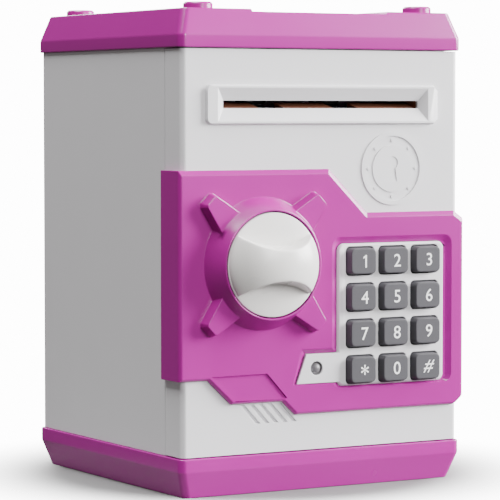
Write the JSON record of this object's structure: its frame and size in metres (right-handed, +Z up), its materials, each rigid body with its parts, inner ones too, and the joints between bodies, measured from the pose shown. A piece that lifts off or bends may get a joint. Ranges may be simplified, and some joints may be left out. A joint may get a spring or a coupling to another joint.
{
  "type": "toy safe coin bank",
  "caption": "Toy safe money box with a hinged door, turning dial latch, keypad, motor-fed note slot and a coin slot in the lid.",
  "frame": {"origin": "middle of the case's footprint on the surface it stands on", "axes": "+Z up, front (door, dial and keypad) towards -Y, +X to the right seen from the front"},
  "size_m": [0.1316, 0.1453, 0.1917],
  "materials": {
    "pink_abs": "injection-moulded ABS, satin gloss, orchid pink",
    "white_abs": "injection-moulded ABS, satin gloss, off-white",
    "inner_abs": "injection-moulded ABS, matte, natural white",
    "grey_silicone": "moulded silicone rubber, matte, mid grey",
    "black_rubber": "moulded rubber, matte, black",
    "zinc_steel": "zinc-plated steel",
    "acetal_gears": "moulded acetal, natural",
    "green_board": "glass-fibre board with green solder mask",
    "black_abs": "moulded ABS, matte, black",
    "clear_lens": "milky clear epoxy",
    "cell_sleeve": "printed PVC sleeve, dark",
    "wire_pvc": "PVC wire insulation, red"
  },
  "bodies": {
    "case": {"body_shell": "white_abs", "latch_keeper": "zinc_steel", "keeper_screws": "zinc_steel", "lid": "pink_abs", "base": "pink_abs", "battery_cover": "pink_abs", "battery_cover_screw": "zinc_steel", "battery_cells": "cell_sleeve", "battery_contacts": "zinc_steel", "battery_springs": "zinc_steel", "base_screws": "zinc_steel", "lid_screws": "zinc_steel", "upper_hinge_pin": "zinc_steel", "lower_hinge_pin": "zinc_steel", "case_harness": "wire_pvc"},
    "door": {"door_front": "white_abs", "door_plate": "pink_abs", "keypad_bezel": "white_abs", "keypad_mat": "grey_silicone", "control_board": "green_board", "board_screws": "zinc_steel", "status_led": "clear_lens", "buzzer": "black_abs", "door_back_cover": "inner_abs", "back_cover_screws": "zinc_steel", "plate_screws": "zinc_steel", "bill_chute": "inner_abs", "motor_bracket": "inner_abs", "solenoid_body": "zinc_steel", "feed_motor": "zinc_steel", "door_harness": "wire_pvc"},
    "knob_lock": {"knob": "white_abs", "knob_spindle": "zinc_steel", "lock_wheel": "inner_abs", "latch_tongue": "inner_abs", "spindle_screw": "zinc_steel"},
    "plunger": {"plunger": "zinc_steel", "plunger_spring": "zinc_steel"},
    "feed_roller_shaft": {"feed_shaft": "zinc_steel", "feed_rollers": "black_rubber", "feed_gear": "acetal_gears"},
    "idler_roller_shaft": {"idler_shaft": "zinc_steel", "idler_rollers": "black_rubber"},
    "motor_rotor": {"motor_pinion": "acetal_gears"},
    "key_0": {"key_0": "grey_silicone"},
    "key_1": {"key_1": "grey_silicone"},
    "key_2": {"key_2": "grey_silicone"},
    "key_3": {"key_3": "grey_silicone"},
    "key_4": {"key_4": "grey_silicone"},
    "key_5": {"key_5": "grey_silicone"},
    "key_6": {"key_6": "grey_silicone"},
    "key_7": {"key_7": "grey_silicone"},
    "key_8": {"key_8": "grey_silicone"},
    "key_9": {"key_9": "grey_silicone"},
    "key_hash": {"key_hash": "grey_silicone"},
    "key_star": {"key_star": "grey_silicone"}
  },
  "joints": [
    {"name": "door_hinge", "type": "hinge", "parent": "case", "child": "door", "pos_m": [0.0598, -0.0547, 0.095], "axis": [0, 0, 1], "range_deg": [0, 95]},
    {"name": "knob_turn", "type": "hinge", "parent": "door", "child": "knob_lock", "pos_m": [-0.0291, -0.07, 0.0902], "axis": [0, -1, 0], "range_deg": [0, 90]},
    {"name": "plunger_slide", "type": "slide", "parent": "door", "child": "plunger", "axis": [0, 0, 1], "range_m": [0, 0.0045], "deforming": ["plunger_spring"]},
    {"name": "feed_roller_spin", "type": "hinge", "parent": "door", "child": "feed_roller_shaft", "pos_m": [0, -0.042, 0.14595], "axis": [1, 0, 0], "continuous": true},
    {"name": "idler_roller_spin", "type": "hinge", "parent": "door", "child": "idler_roller_shaft", "pos_m": [0, -0.042, 0.15825], "axis": [1, 0, 0], "continuous": true},
    {"name": "motor_spin", "type": "hinge", "parent": "door", "child": "motor_rotor", "pos_m": [0.045, -0.042, 0.12975], "axis": [1, 0, 0], "continuous": true},
    {"name": "key_0_press", "type": "slide", "parent": "door", "child": "key_0", "axis": [0, 1, 0], "range_m": [0, 0.0015], "stiffness_N_per_m": 700, "springref_m": -0.0004},
    {"name": "key_1_press", "type": "slide", "parent": "door", "child": "key_1", "axis": [0, 1, 0], "range_m": [0, 0.0015], "stiffness_N_per_m": 700, "springref_m": -0.0004},
    {"name": "key_2_press", "type": "slide", "parent": "door", "child": "key_2", "axis": [0, 1, 0], "range_m": [0, 0.0015], "stiffness_N_per_m": 700, "springref_m": -0.0004},
    {"name": "key_3_press", "type": "slide", "parent": "door", "child": "key_3", "axis": [0, 1, 0], "range_m": [0, 0.0015], "stiffness_N_per_m": 700, "springref_m": -0.0004},
    {"name": "key_4_press", "type": "slide", "parent": "door", "child": "key_4", "axis": [0, 1, 0], "range_m": [0, 0.0015], "stiffness_N_per_m": 700, "springref_m": -0.0004},
    {"name": "key_5_press", "type": "slide", "parent": "door", "child": "key_5", "axis": [0, 1, 0], "range_m": [0, 0.0015], "stiffness_N_per_m": 700, "springref_m": -0.0004},
    {"name": "key_6_press", "type": "slide", "parent": "door", "child": "key_6", "axis": [0, 1, 0], "range_m": [0, 0.0015], "stiffness_N_per_m": 700, "springref_m": -0.0004},
    {"name": "key_7_press", "type": "slide", "parent": "door", "child": "key_7", "axis": [0, 1, 0], "range_m": [0, 0.0015], "stiffness_N_per_m": 700, "springref_m": -0.0004},
    {"name": "key_8_press", "type": "slide", "parent": "door", "child": "key_8", "axis": [0, 1, 0], "range_m": [0, 0.0015], "stiffness_N_per_m": 700, "springref_m": -0.0004},
    {"name": "key_9_press", "type": "slide", "parent": "door", "child": "key_9", "axis": [0, 1, 0], "range_m": [0, 0.0015], "stiffness_N_per_m": 700, "springref_m": -0.0004},
    {"name": "key_hash_press", "type": "slide", "parent": "door", "child": "key_hash", "axis": [0, 1, 0], "range_m": [0, 0.0015], "stiffness_N_per_m": 700, "springref_m": -0.0004},
    {"name": "key_star_press", "type": "slide", "parent": "door", "child": "key_star", "axis": [0, 1, 0], "range_m": [0, 0.0015], "stiffness_N_per_m": 700, "springref_m": -0.0004}
  ],
  "couplings": [
    {"joint": "motor_spin", "follows": "feed_roller_spin", "ratio": -2.8333},
    {"joint": "idler_roller_spin", "follows": "feed_roller_spin", "ratio": -1}
  ]
}
